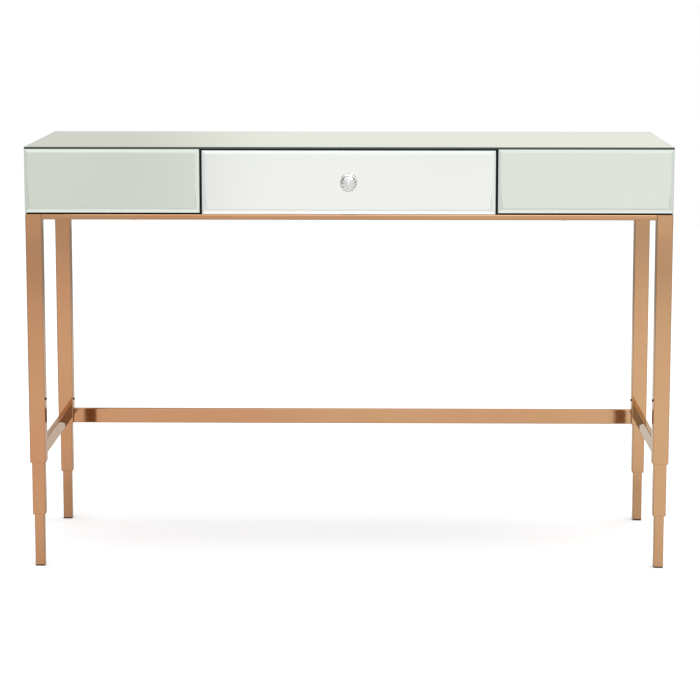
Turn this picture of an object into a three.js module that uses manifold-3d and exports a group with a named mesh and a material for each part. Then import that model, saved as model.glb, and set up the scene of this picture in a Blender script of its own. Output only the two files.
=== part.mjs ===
// Mirror-clad dressing table: a plated tube frame on stepped legs carries a shallow box whose top,
// front and ends are bevelled mirror glass, with one drawer between two fixed front panels.
// Millimetres, +Z up, the drawer faces -Y. The origin is on the floor, under the centre of the
// whole outline, knob included.
import * as THREE from 'three';
import { ConvexGeometry } from 'three/addons/geometries/ConvexGeometry.js';
import { mergeVertices } from 'three/addons/utils/BufferGeometryUtils.js';
import Module from 'manifold-3d';

const wasm = await Module();
wasm.setup();

// Overall sizes
const width = 1200;
const depth = 440;
const height = 795;

// Gap left between neighbouring pieces that touch on the real table
const fit = 0.3;

// How far a cutting shape runs past the face it starts from
const past = 1;

// Frame tubes
const legSize = 30;
const legMiddleSize = 24;
const legLowerSize = 18;
const legLowerWall = 2;
const legMiddleFrom = 100;
const legUpperFrom = 200;
const legOverlap = 40;
const tubeCorner = 1.5;
const railHeight = 10;
const railWall = 1.5;
const stretcherThick = 10;
const stretcherHeight = 30;
const glideThick = 2;
const glideInset = 0.5;
const glidePlugHeight = 12;
const glideRoot = 1;
const ventRadius = 2;
const ventHeightFront = 320;
const ventHeightBack = 249;

// Case and drawer boards
const caseHeight = 125;
const board = 12;
const backPanel = 6;
const drawerBottomThick = 5;
const grooveDepth = 6;
const bayWidth = 552;
const partitionCover = 12;
const panelLift = 3;
const drawerFrontGap = 4.5;
const drawerTopGap = 2.5;
const drawerBottomGap = 0.5;
const drawerBoxLift = 8;
const drawerBoxTopRoom = 12.4;
const drawerBottomLift = 8;

// Mirror glass
const glass = 4;
const glassEdge = 2;
const bevelWidth = 10;

// Drawer slides
const slideRoom = 12.7;
const slideBackRoom = 17.1;
const slideSheet = 1.2;
const slideHeight = 35;
const slideDepth = 10;
const slideLip = 4;
const slideInnerLip = 2;
const slideRunningGap = 1.5;

// Rubber stops behind the drawer
const bumperRadius = 6;
const bumperThick = 8;

// Knob
const knobRadius = 16;
const knobLength = 26;
const knobWidestAt = 13;
const knobBackRadius = 9;
const knobShoulderRadius = 14;
const knobShoulderAt = 6;
const knobCrownRadius = 13.5;
const knobCrownAt = 21;
const knobTableRadius = 8;
const knobFacets = 12;
const collarRadius = 8;
const collarRim = 1.6;
const collarThick = 4;
const collarTopRadius = 6;
const collarNeckRadius = 5;
const collarNeckLength = 7;
const knobScrewRadius = 2;

// Screws that hold the case down on the frame
const screwRadius = 2;
const screwHeadRadius = 4;
const screwHeadFlat = 2.4;
const screwHeadRim = 1;
const screwHeadHeight = 2.4;
const screwGrip = 8;
const screwInset = 200;
const screwSetback = 24;
const screwPointRadius = 0.6;
const crossWidth = 1;
const crossLength = 4.4;
const crossDepth = 1;
const roundSides = 20;

// Planes shared by several pieces
const knobReach = fit + collarThick + fit + knobLength;
const frontY = -(depth - knobReach) / 2;
const backY = frontY + depth;
const railTop = height - caseHeight;
const caseFrom = railTop + fit;
const railFrom = railTop - railHeight;
const glassTopFrom = height - glass;
const caseTop = glassTopFrom - fit;
const caseHalfWidth = width / 2 - glass - fit;
const boardFrontY = frontY + glass + fit;
const boardBackY = boardFrontY + board;
const caseFrontY = boardBackY + fit;
const caseBackY = backY - backPanel - fit;
const caseInnerFrom = caseFrom + board;
const caseInnerTop = caseTop - board;
const bayHalf = bayWidth / 2 - partitionCover;
const panelFrom = railTop + panelLift;
const drawerFrontHalf = bayWidth / 2 - drawerFrontGap;
const drawerFrontFrom = railTop + drawerBottomGap;
const drawerFrontTop = glassTopFrom - drawerTopGap;
const slideLength = caseBackY - caseFrontY - slideBackRoom;
const boxHalf = bayHalf - slideRoom;
const boxFrom = caseInnerFrom + drawerBoxLift;
const boxTop = caseInnerTop - drawerBoxTopRoom;
const boxBackY = caseBackY - bumperThick - fit;
const knobHeight = (drawerFrontFrom + drawerFrontTop) / 2;
const legCentreX = width / 2 - legSize / 2;
const legFrontY = frontY + legSize / 2;
const legBackY = backY - legSize / 2;
const stretcherMiddle = legUpperFrom + stretcherHeight / 2;

const group = new THREE.Group();
group.name = 'mirrored_dressing_table';

const finishes = {
  plating: { color: '#cf9a77', roughness: 0.18, metalness: 1 },
  mirror: { color: '#dfe5da', roughness: 0.03, metalness: 1 },
  paint: { color: '#1b1c1a', roughness: 0.55, metalness: 0 },
  steel: { color: '#b9bcc0', roughness: 0.35, metalness: 1 },
  chrome: { color: '#c9cbcd', roughness: 0.12, metalness: 1 },
  nylon: { color: '#332e2a', roughness: 0.6, metalness: 0 },
  rubber: { color: '#2a2a2a', roughness: 0.8, metalness: 0 },
  crystal: { color: '#eef4f2', roughness: 0.02, metalness: 0 },
};

function add(name, geometry, finish) {
  const mesh = new THREE.Mesh(geometry, new THREE.MeshStandardMaterial(finishes[finish]));
  mesh.name = name;
  group.add(mesh);
}

// Boolean cuts on closed shapes
function solid(geometry) {
  const bare = geometry.clone();
  bare.deleteAttribute('normal');
  bare.deleteAttribute('uv');
  const merged = mergeVertices(bare, 1e-4);
  return new wasm.Manifold(new wasm.Mesh({
    numProp: 3,
    vertProperties: new Float32Array(merged.attributes.position.array),
    triVerts: new Uint32Array(merged.index.array),
  }));
}

function shapeOf(body) {
  const mesh = body.getMesh();
  const geometry = new THREE.BufferGeometry();
  geometry.setAttribute('position', new THREE.BufferAttribute(mesh.vertProperties, 3));
  geometry.setIndex(new THREE.BufferAttribute(mesh.triVerts, 1));
  geometry.computeVertexNormals();
  return geometry;
}

function cut(geometry, tools) {
  let body = solid(geometry);
  for (const tool of tools) {
    body = body.subtract(solid(tool));
  }
  return shapeOf(body);
}

// A block between two corners
function block([x0, y0, z0], [x1, y1, z1]) {
  const geometry = new THREE.BoxGeometry(x1 - x0, y1 - y0, z1 - z0);
  geometry.translate((x0 + x1) / 2, (y0 + y1) / 2, (z0 + z1) / 2);
  return geometry;
}

// A round bar along one axis, between two places on it
function bar(axis, centre, radius, from, to) {
  const geometry = new THREE.CylinderGeometry(radius, radius, to - from, roundSides);
  if (axis === 'x') {
    geometry.rotateZ(Math.PI / 2);
  }
  if (axis === 'z') {
    geometry.rotateX(Math.PI / 2);
  }
  const middle = (from + to) / 2;
  const place = {
    x: [middle, ...centre],
    y: [centre[0], middle, centre[1]],
    z: [...centre, middle],
  };
  geometry.translate(...place[axis]);
  return geometry;
}

function roundedRectangle(path, w, h, r) {
  path.absarc(w / 2 - r, h / 2 - r, r, 0, Math.PI / 2);
  path.absarc(-w / 2 + r, h / 2 - r, r, Math.PI / 2, Math.PI);
  path.absarc(-w / 2 + r, -h / 2 + r, r, Math.PI, Math.PI * 1.5);
  path.absarc(w / 2 - r, -h / 2 + r, r, Math.PI * 1.5, Math.PI * 2);
  return path;
}

// A rectangular tube standing on z = 0, open at both ends
function tube(w, h, wall, length) {
  const outline = roundedRectangle(new THREE.Shape(), w, h, tubeCorner);
  const inner = roundedRectangle(new THREE.Path(), w - 2 * wall, h - 2 * wall, tubeCorner / 2);
  outline.holes.push(inner);
  return new THREE.ExtrudeGeometry(outline, { depth: length, bevelEnabled: false, curveSegments: 3 });
}

// Legs: three square tubes, each pushed up into the wider one above
const corners = [
  { name: 'front_left', x: -legCentreX, y: legFrontY, side: -1, vent: ventHeightFront },
  { name: 'front_right', x: legCentreX, y: legFrontY, side: 1, vent: ventHeightFront },
  { name: 'back_left', x: -legCentreX, y: legBackY, side: -1, vent: ventHeightBack },
  { name: 'back_right', x: legCentreX, y: legBackY, side: 1, vent: ventHeightBack },
];
const legWall = (legSize - legMiddleSize) / 2 - fit;
const legMiddleWall = (legMiddleSize - legLowerSize) / 2 - fit;
const legLowerFrom = glideThick + fit;
const glidePlug = legLowerSize - 2 * legLowerWall - 2 * fit;
const glidePad = legLowerSize - 2 * glideInset;

for (const corner of corners) {
  const upper = tube(legSize, legSize, legWall, railTop - legUpperFrom);
  upper.translate(corner.x, corner.y, legUpperFrom);
  const innerFace = corner.x - corner.side * legSize / 2;
  const ventReach = legWall + past;
  const vent = bar('x', [corner.y, corner.vent], ventRadius, innerFace - ventReach, innerFace + ventReach);
  add(`leg_upper_${corner.name}`, cut(upper, [vent]), 'plating');

  const middle = tube(legMiddleSize, legMiddleSize, legMiddleWall, legUpperFrom - legMiddleFrom + legOverlap);
  middle.translate(corner.x, corner.y, legMiddleFrom);
  add(`leg_middle_${corner.name}`, middle, 'plating');

  const lower = tube(legLowerSize, legLowerSize, legLowerWall, legMiddleFrom - legLowerFrom + legOverlap);
  lower.translate(corner.x, corner.y, legLowerFrom);
  add(`leg_lower_${corner.name}`, lower, 'plating');

  const pad = block(
    [corner.x - glidePad / 2, corner.y - glidePad / 2, 0],
    [corner.x + glidePad / 2, corner.y + glidePad / 2, glideThick],
  );
  const plug = block(
    [corner.x - glidePlug / 2, corner.y - glidePlug / 2, glideThick - glideRoot],
    [corner.x + glidePlug / 2, corner.y + glidePlug / 2, glideThick + glidePlugHeight],
  );
  add(`foot_glide_${corner.name}`, shapeOf(solid(pad).add(solid(plug))), 'nylon');
}

// Screws through the rails into the case bottom
const screwSpots = [
  [-width / 2 + screwInset, frontY + screwSetback],
  [width / 2 - screwInset, frontY + screwSetback],
  [-width / 2 + screwInset, backY - screwSetback],
  [width / 2 - screwInset, backY - screwSetback],
  [-legCentreX, (frontY + backY) / 2],
  [legCentreX, (frontY + backY) / 2],
];
const screwTip = caseFrom + screwGrip;
const screwHeadFrom = railFrom - fit - screwHeadHeight;
const screwHoles = screwSpots.map((spot) => (
  bar('z', spot, screwRadius + fit, railFrom - past, screwTip + fit)
));

// Top rails: flat tube, welded between the legs and flush with their tops and outer faces
const acrossLegs = width - 2 * legSize - 2 * fit;
const alongLegs = depth - 2 * legSize - 2 * fit;

function rail(length, middleX, middleY, along) {
  const whole = tube(legSize, railHeight, railWall, length);
  whole.translate(0, 0, -length / 2);
  whole.rotateX(Math.PI / 2);
  if (along === 'x') {
    whole.rotateZ(Math.PI / 2);
  }
  whole.translate(middleX, middleY, railFrom + railHeight / 2);
  return whole;
}

for (const [name, y] of [['front', legFrontY], ['back', legBackY]]) {
  add(`frame_rail_${name}`, cut(rail(acrossLegs, 0, y, 'x'), screwHoles), 'plating');
}
for (const [name, side] of [['left', -1], ['right', 1]]) {
  const whole = rail(alongLegs, side * legCentreX, (frontY + backY) / 2, 'y');
  add(`frame_rail_${name}`, cut(whole, screwHoles), 'plating');
}

// Stretchers: flat tube on edge, low between the legs, none at the front
for (const [name, side] of [['left', -1], ['right', 1]]) {
  const stretcher = tube(stretcherThick, stretcherHeight, railWall, alongLegs);
  stretcher.rotateX(Math.PI / 2);
  stretcher.translate(side * legCentreX, (frontY + backY + alongLegs) / 2, stretcherMiddle);
  add(`stretcher_${name}`, stretcher, 'plating');
}
const backStretcher = tube(stretcherThick, stretcherHeight, railWall, acrossLegs);
backStretcher.rotateX(Math.PI / 2);
backStretcher.rotateZ(Math.PI / 2);
backStretcher.translate(-acrossLegs / 2, legBackY, stretcherMiddle);
add('stretcher_back', backStretcher, 'plating');

// Case boards
function caseBoard([y0, y1], [z0, z1]) {
  return block([-caseHalfWidth, y0, z0], [caseHalfWidth, y1, z1]);
}

add('case_top', caseBoard([caseFrontY, caseBackY], [caseInnerTop, caseTop]), 'paint');
const caseBottom = caseBoard([caseFrontY, caseBackY], [caseFrom, caseInnerFrom]);
add('case_bottom', cut(caseBottom, screwHoles), 'paint');
add('case_back', caseBoard([caseBackY + fit, backY], [caseFrom, caseTop]), 'paint');
for (const [name, side] of [['left', -1], ['right', 1]]) {
  const upright = (near, far) => block(
    [Math.min(side * near, side * far), caseFrontY, caseInnerFrom + fit],
    [Math.max(side * near, side * far), caseBackY, caseInnerTop - fit],
  );
  add(`case_end_${name}`, upright(caseHalfWidth - board, caseHalfWidth), 'paint');
  add(`case_partition_${name}`, upright(bayHalf, bayHalf + board), 'paint');
  add(`case_front_${name}`, block(
    [Math.min(side * bayWidth / 2, side * caseHalfWidth), boardFrontY, panelFrom],
    [Math.max(side * bayWidth / 2, side * caseHalfWidth), boardBackY, caseTop],
  ), 'paint');
}

// Mirror glass lying flat, polished side up, with a wide shallow bevel round its face
function mirror(w, h) {
  const points = [];
  const levels = [[0, 0], [glassEdge, 0], [glass, bevelWidth]];
  for (const [z, inset] of levels) {
    for (const [sx, sy] of [[-1, -1], [1, -1], [1, 1], [-1, 1]]) {
      points.push(new THREE.Vector3(sx * (w / 2 - inset), sy * (h / 2 - inset), z));
    }
  }
  return new ConvexGeometry(points);
}

const topMirror = mirror(width, depth);
topMirror.translate(0, (frontY + backY) / 2, glassTopFrom);
add('mirror_top', topMirror, 'mirror');

const panelWidth = (width - bayWidth) / 2;
const panelHeight = caseTop - panelFrom;
const endLength = backY - boardFrontY;
const endHeight = caseTop - caseFrom;
for (const [name, side] of [['left', -1], ['right', 1]]) {
  const front = mirror(panelWidth, panelHeight);
  front.rotateX(Math.PI / 2);
  front.translate(side * (bayWidth + panelWidth) / 2, frontY + glass, (panelFrom + caseTop) / 2);
  add(`mirror_front_${name}`, front, 'mirror');

  const end = mirror(endHeight, endLength);
  end.rotateY(side * Math.PI / 2);
  end.translate(side * (width / 2 - glass), (boardFrontY + backY) / 2, (caseFrom + caseTop) / 2);
  add(`mirror_end_${name}`, end, 'mirror');
}

// Drawer front, and the holes for the knob's screw
const knobHole = bar('y', [0, knobHeight], knobScrewRadius + fit, frontY - past, caseFrontY + board + past);
const drawerMirror = mirror(2 * drawerFrontHalf, drawerFrontTop - drawerFrontFrom);
drawerMirror.rotateX(Math.PI / 2);
drawerMirror.translate(0, frontY + glass, knobHeight);
add('mirror_drawer', cut(drawerMirror, [knobHole]), 'mirror');
const drawerFront = block(
  [-drawerFrontHalf + fit, boardFrontY, drawerFrontFrom + fit],
  [drawerFrontHalf - fit, boardBackY, drawerFrontTop - fit],
);
add('drawer_front', cut(drawerFront, [knobHole]), 'paint');

// Drawer box: four boards round a thin bottom held in grooves
const bottomFrom = boxFrom + drawerBottomLift;
const boxInner = boxHalf - board;
const boxFrontInnerY = caseFrontY + board;
const boxBackInnerY = boxBackY - board;
const groove = block(
  [-boxInner - grooveDepth, boxFrontInnerY - grooveDepth, bottomFrom - fit],
  [boxInner + grooveDepth, boxBackInnerY + grooveDepth, bottomFrom + drawerBottomThick + fit],
);
for (const [name, side] of [['left', -1], ['right', 1]]) {
  const plain = block(
    [Math.min(side * boxInner, side * boxHalf), caseFrontY, boxFrom],
    [Math.max(side * boxInner, side * boxHalf), boxBackY, boxTop],
  );
  add(`drawer_side_${name}`, cut(plain, [groove]), 'paint');
}
const boxFront = block([-boxInner + fit, caseFrontY, boxFrom], [boxInner - fit, boxFrontInnerY, boxTop]);
add('drawer_box_front', cut(boxFront, [groove, knobHole]), 'paint');
const boxBack = block([-boxInner + fit, boxBackInnerY, boxFrom], [boxInner - fit, boxBackY, boxTop]);
add('drawer_back', cut(boxBack, [groove]), 'paint');
add('drawer_bottom', block(
  [-boxInner - grooveDepth + fit, boxFrontInnerY - grooveDepth + fit, bottomFrom],
  [boxInner + grooveDepth - fit, boxBackInnerY + grooveDepth - fit, bottomFrom + drawerBottomThick],
), 'paint');

// Slides: a lipped channel on each partition, and a smaller channel on the drawer that runs in it
function channel(tall, deep, lip) {
  const far = tall / 2;
  const mouth = far - lip;
  const inner = far - slideSheet;
  const points = [
    [0, -far], [deep, -far], [deep, -mouth], [deep - slideSheet, -mouth],
    [deep - slideSheet, -inner], [slideSheet, -inner], [slideSheet, inner], [deep - slideSheet, inner],
    [deep - slideSheet, mouth], [deep, mouth], [deep, far], [0, far],
  ];
  const outline = new THREE.Shape(points.map(([x, y]) => new THREE.Vector2(x, y)));
  const geometry = new THREE.ExtrudeGeometry(outline, { depth: slideLength, bevelEnabled: false });
  geometry.rotateX(Math.PI / 2);
  geometry.translate(0, caseFrontY + slideLength, 0);
  return geometry;
}

const slideMiddle = (boxFrom + boxTop) / 2;
const innerTall = slideHeight - 2 * slideLip - 2 * slideRunningGap;
for (const [name, turn] of [['left', 0], ['right', Math.PI]]) {
  const side = name === 'left' ? -1 : 1;
  const fixed = channel(slideHeight, slideDepth, slideLip);
  fixed.translate(-bayHalf + fit, 0, slideMiddle);
  const moving = channel(innerTall, slideDepth, slideInnerLip);
  moving.rotateZ(Math.PI);
  moving.translate(-boxHalf - fit, 2 * caseFrontY + slideLength, slideMiddle);
  for (const member of [fixed, moving]) {
    if (turn !== 0) {
      member.rotateZ(turn);
      member.translate(0, 2 * caseFrontY + slideLength, 0);
    }
  }
  add(`slide_case_${name}`, fixed, 'steel');
  add(`slide_drawer_${name}`, moving, 'steel');

  const stop = bar('y', [side * (boxHalf - board / 2 - bumperRadius), slideMiddle], bumperRadius,
    caseBackY - bumperThick, caseBackY);
  add(`bumper_${name}`, stop, 'rubber');
}

// Turned pieces are drawn from their rear end and point out of the drawer, towards -Y
function turned(profile, sides) {
  const points = profile.map(([r, along]) => new THREE.Vector2(r, along));
  return new THREE.LatheGeometry(points, sides);
}

function onDrawer(geometry, from) {
  geometry.rotateX(Math.PI);
  geometry.translate(0, from, knobHeight);
  return geometry;
}

// Cut-crystal knob on a plated collar, pulled tight by a screw from inside the drawer
const collarBack = frontY - fit;
const crystalBack = collarBack - collarThick - fit;
const boreRadius = collarNeckRadius + fit;
const boreDepth = collarNeckLength;
const crystal = turned([
  [0, boreDepth],
  [boreRadius, boreDepth],
  [boreRadius, 0],
  [knobBackRadius, 0],
  [knobShoulderRadius, knobShoulderAt],
  [knobRadius, knobWidestAt],
  [knobCrownRadius, knobCrownAt],
  [knobTableRadius, knobLength],
  [0, knobLength],
], knobFacets);
add('knob_crystal', onDrawer(crystal, crystalBack), 'crystal');

const collarHole = knobScrewRadius + fit;
const collarLength = collarThick + collarNeckLength;
const collar = turned([
  [collarHole, 0],
  [collarRadius, 0],
  [collarRadius, collarRim],
  [collarTopRadius, collarThick],
  [collarNeckRadius, collarThick],
  [collarNeckRadius, collarLength],
  [collarHole, collarLength],
  [collarHole, 0],
], roundSides);
add('knob_collar', onDrawer(collar, collarBack), 'chrome');

// Screws: a domed head with a cross recess and a plain shank that ends in a point
function screw(radius, length) {
  const body = turned([
    [0, 0],
    [screwHeadFlat, 0],
    [screwHeadRadius, screwHeadHeight - screwHeadRim],
    [screwHeadRadius, screwHeadHeight],
    [radius, screwHeadHeight],
    [radius, screwHeadHeight + length - radius],
    [screwPointRadius, screwHeadHeight + length],
    [0, screwHeadHeight + length],
  ], roundSides);
  const slots = [[crossLength, crossWidth], [crossWidth, crossLength]];
  const recess = slots.map(([x, z]) => block([-x / 2, -past, -z / 2], [x / 2, crossDepth, z / 2]));
  return cut(body, recess);
}

const knobScrewHead = boxFrontInnerY + fit;
const knobScrewLength = knobScrewHead - collarBack + collarThick;
const knobScrew = screw(knobScrewRadius, knobScrewLength);
add('knob_screw', onDrawer(knobScrew, knobScrewHead + screwHeadHeight), 'steel');

screwSpots.forEach(([x, y], index) => {
  const one = screw(screwRadius, screwTip - railFrom + fit);
  one.rotateX(Math.PI / 2);
  one.translate(x, y, screwHeadFrom);
  add(`frame_screw_${index + 1}`, one, 'steel');
});

export default group;
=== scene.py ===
# %% [markdown]
# # A mirrored dressing table
# The table is a shallow box clad in bevelled mirror glass, on a rose-gold tube frame with stepped legs.
# It has one drawer, in the middle, with a cut-crystal knob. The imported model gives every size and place,
# so each piece here is measured from the box of the part that it stands for, in metres, with +Z up and
# the drawer facing -Y. Nearly every surface on this table is a mirror of some kind, so what the room
# looks like matters as much as the pieces do.

import math

import bmesh
import bpy
from mathutils import Matrix, Vector


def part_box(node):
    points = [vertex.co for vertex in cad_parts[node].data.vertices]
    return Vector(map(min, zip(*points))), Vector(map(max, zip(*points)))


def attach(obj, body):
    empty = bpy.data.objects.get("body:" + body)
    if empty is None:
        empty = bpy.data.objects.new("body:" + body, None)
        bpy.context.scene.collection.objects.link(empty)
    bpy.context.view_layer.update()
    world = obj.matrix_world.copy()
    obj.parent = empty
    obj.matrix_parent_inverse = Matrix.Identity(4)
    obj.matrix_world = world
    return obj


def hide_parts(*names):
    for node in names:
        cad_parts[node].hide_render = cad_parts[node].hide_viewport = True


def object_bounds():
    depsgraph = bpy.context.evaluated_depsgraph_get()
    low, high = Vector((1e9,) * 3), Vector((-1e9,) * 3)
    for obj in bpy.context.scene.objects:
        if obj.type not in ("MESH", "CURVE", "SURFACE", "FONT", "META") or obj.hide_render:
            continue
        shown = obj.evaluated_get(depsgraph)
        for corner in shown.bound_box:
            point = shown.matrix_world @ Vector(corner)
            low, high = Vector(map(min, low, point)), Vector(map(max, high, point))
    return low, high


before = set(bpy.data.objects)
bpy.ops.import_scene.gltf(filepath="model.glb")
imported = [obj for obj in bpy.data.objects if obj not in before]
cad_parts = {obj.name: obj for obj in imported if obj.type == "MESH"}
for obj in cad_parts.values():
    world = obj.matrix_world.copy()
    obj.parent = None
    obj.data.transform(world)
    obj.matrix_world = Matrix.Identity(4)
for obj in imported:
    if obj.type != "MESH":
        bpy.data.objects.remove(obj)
cad_low, cad_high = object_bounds()
TABLE = "table"
DRAWER = "drawer"
MM = 0.001

# %% [markdown]
# ## Camera
# The table is seen from a little above and almost square on, from far enough away that the front and
# back legs stay nearly the same width. A long lens does that. The camera is tipped down at the table
# rather than shifted, so that the same camera also frames the table from any other side.

# %% Camera
CAMERA_DISTANCE = 4.585
CAMERA_HEIGHT = 1.124
CAMERA_ASIDE = 0.0749
CAMERA_TIP = math.radians(8.77)
CAMERA_PAN = math.radians(0.904)
CAMERA_LENS = 127.9
FILM_WIDTH = 36
SEES_AS_FAR_AS = 200

front_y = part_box("mirror_top")[0].y
camera_data = bpy.data.cameras.new("camera")
camera_data.lens = CAMERA_LENS
camera_data.sensor_width = FILM_WIDTH
camera_data.clip_end = SEES_AS_FAR_AS
camera = bpy.data.objects.new("camera", camera_data)
camera.location = (CAMERA_ASIDE, front_y - CAMERA_DISTANCE, CAMERA_HEIGHT)
camera.rotation_euler = (math.pi / 2 - CAMERA_TIP, 0, CAMERA_PAN)
bpy.context.scene.collection.objects.link(camera)
bpy.context.scene.camera = camera
print("camera", [round(v, 3) for v in camera.location])

# %% [markdown]
# ## Room
# A photographer's white room: a pale floor, an even white surround and two large soft lamps. A mirror
# shows the room, so the surround isn't one flat value. It is brightest in front and overhead, dimmer low
# down behind the table, and a little shaded to the left and right. Along the left, the floor is painted
# dark like a black card that a photographer would lay there, and this painted shade draws a fine dark line
# down the left corner of every polished leg. The camera doesn't see the painted card or the shading, and
# matt surfaces are lit by one even level. What has already been reflected twice meets a floor painted
# darker, a painted shade that darkens the legs' reflections in the stretchers, and what shines through the
# crystal is bright from every side.

# %% Helpers for node trees
def tree_of(owner):
    """The owner's node tree, emptied."""
    owner.use_nodes = True
    tree = owner.node_tree
    tree.nodes.clear()
    return tree


def add_node(tree, kind, **settings):
    """A node with its plain settings and, by socket name, its input values."""
    node = tree.nodes.new(kind)
    for key, value in settings.pop("inputs", {}).items():
        node.inputs[key].default_value = value
    for key, value in settings.items():
        setattr(node, key, value)
    return node


def feed(tree, socket, value):
    """Gives a socket a number, or joins another socket to it."""
    if isinstance(value, (int, float)):
        socket.default_value = value
    else:
        tree.links.new(value, socket)


def maths(tree, operation, first, second):
    """A Math node; each side is a number or a socket."""
    node = add_node(tree, "ShaderNodeMath", operation=operation)
    feed(tree, node.inputs[0], first)
    feed(tree, node.inputs[1], second)
    return node.outputs[0]


def blend(tree, factor, first, second):
    """A number that goes from first to second as the factor goes from 0 to 1."""
    node = add_node(tree, "ShaderNodeMix", data_type="FLOAT")
    feed(tree, node.inputs["Factor"], factor)
    feed(tree, node.inputs["A"], first)
    feed(tree, node.inputs["B"], second)
    return node.outputs["Result"]


def remap(tree, value, low, high, to_low, to_high, smooth=False):
    """A Map Range node from [low, high] to [to_low, to_high]."""
    limits = {"From Min": low, "From Max": high, "To Min": to_low, "To Max": to_high}
    kind = "SMOOTHSTEP" if smooth else "LINEAR"
    node = add_node(tree, "ShaderNodeMapRange", interpolation_type=kind, inputs=limits)
    tree.links.new(value, node.inputs["Value"])
    return node.outputs["Result"]


def fade(tree, value, span, first, second):
    """A soft change from first to second as the value crosses the span."""
    return remap(tree, value, *span, first, second, smooth=True)


def split(tree, vector):
    """The X, Y and Z outputs of a vector."""
    node = add_node(tree, "ShaderNodeSeparateXYZ")
    tree.links.new(vector, node.inputs[0])
    return node.outputs


# %% [markdown]
# ### Surround
# The white walls are one world shader. The direction that a ray leaves in is split into its left-right,
# front-back and upward parts, and each part dims the white a little over its own span. A studio built
# from planes would do the same, but a shader has no edges and seams to show up in a mirror.

# %% Surround
# levels seen in a mirror, low down and higher up
FRONT_LEVEL = 0.90
BACK_LEVEL = 0.50
FRONT_HIGH = 0.99
BACK_HIGH = 0.88
# share taken off on the left, low down in front and everywhere behind
FRONT_SHADE = 0.14
BACK_SHADE = 0.20
RIGHT_LEVEL = 0.87
LEFT_LEVEL = 0.90
FAR_LEFT_LEVEL = 0.75
# levels for what isn't a mirror
CAMERA_LEVEL = 1.0
GLASS_LEVEL = 1.0
LIGHT_LEVEL = 1.15
# where each change happens, as parts of a direction of length 1
FRONT_TO_BACK = (-0.3, 0.5)
LOW_TO_HIGH = (-0.02, 0.05)
SHADE_SPAN = (-0.11, -0.04)
LEFT_SPAN = (-0.3, -0.14)
FAR_LEFT_SPAN = (-0.9, -0.45)
RIGHT_SPAN = (0.12, 0.3)

world = bpy.data.worlds.new("room")
bpy.context.scene.world = world
tree = tree_of(world)
direction = add_node(tree, "ShaderNodeTexCoord")
along_x, along_y, upward = split(tree, direction.outputs["Generated"])
low_level = fade(tree, along_y, FRONT_TO_BACK, FRONT_LEVEL, BACK_LEVEL)
high_level = fade(tree, along_y, FRONT_TO_BACK, FRONT_HIGH, BACK_HIGH)
raised = fade(tree, upward, LOW_TO_HIGH, 0, 1)
seen_level = blend(tree, raised, low_level, high_level)
front_shade = maths(tree, "MULTIPLY", maths(tree, "SUBTRACT", 1.0, raised), FRONT_SHADE)
behind = fade(tree, along_y, FRONT_TO_BACK, 0, 1)
shade = blend(tree, behind, front_shade, BACK_SHADE)
leftness = fade(tree, along_x, SHADE_SPAN, 1, 0)
shaded = maths(tree, "SUBTRACT", 1.0, maths(tree, "MULTIPLY", shade, leftness))
left = fade(tree, along_x, LEFT_SPAN, LEFT_LEVEL, 1)
far_left = fade(tree, along_x, FAR_LEFT_SPAN, FAR_LEFT_LEVEL, 1)
right = fade(tree, along_x, RIGHT_SPAN, 1, RIGHT_LEVEL)
for dimming in (shaded, left, far_left, right):
    seen_level = maths(tree, "MULTIPLY", seen_level, dimming)
ray = add_node(tree, "ShaderNodeLightPath")
strength = blend(tree, ray.outputs["Is Transmission Ray"], seen_level, GLASS_LEVEL)
strength = blend(tree, ray.outputs["Is Camera Ray"], strength, CAMERA_LEVEL)
strength = blend(tree, ray.outputs["Is Diffuse Ray"], strength, LIGHT_LEVEL)
surround = add_node(tree, "ShaderNodeBackground", inputs={"Color": (1, 1, 1, 1)})
tree.links.new(strength, surround.inputs["Strength"])
out = add_node(tree, "ShaderNodeOutputWorld")
tree.links.new(surround.outputs[0], out.inputs["Surface"])
bpy.context.scene.view_settings.view_transform = "Standard"
print("surround", FRONT_LEVEL, "in front,", BACK_LEVEL, "behind,", FRONT_HIGH, "above")

# %% [markdown]
# ### Floor
# The floor is one large matt sheet that catches the table's soft shadow. Its paint asks what kind of ray
# is looking: it is nearly white to the camera, greyer in the polished legs, and darker still once it has
# been reflected twice. The black card is painted on it, and only reflections show it.

# %% Floor
FLOOR_REACH = 6.0
FLOOR_SQUARES = 8
# how pale it is to the camera, after one bounce and after two
FLOOR_SEEN = 0.96
FLOOR_BOUNCED = 0.62
FLOOR_TWICE = 0.30
# share left of it on the black card and far behind, and where those are, in metres
CARD_LEVEL = 0.30
CARD_RIGHT_EDGE = (-2.6, -1.3)
CARD_LEFT_EDGE = (-3.7, -3.0)
FAR_BEHIND_LEVEL = 0.5
FAR_BEHIND_EDGE = (2.4, 4.4)

floor_mesh = bpy.data.meshes.new("floor")
shape = bmesh.new()
bmesh.ops.create_grid(shape, x_segments=FLOOR_SQUARES, y_segments=FLOOR_SQUARES, size=FLOOR_REACH)
shape.to_mesh(floor_mesh)
shape.free()
floor = bpy.data.objects.new("floor", floor_mesh)
bpy.context.scene.collection.objects.link(floor)

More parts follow.
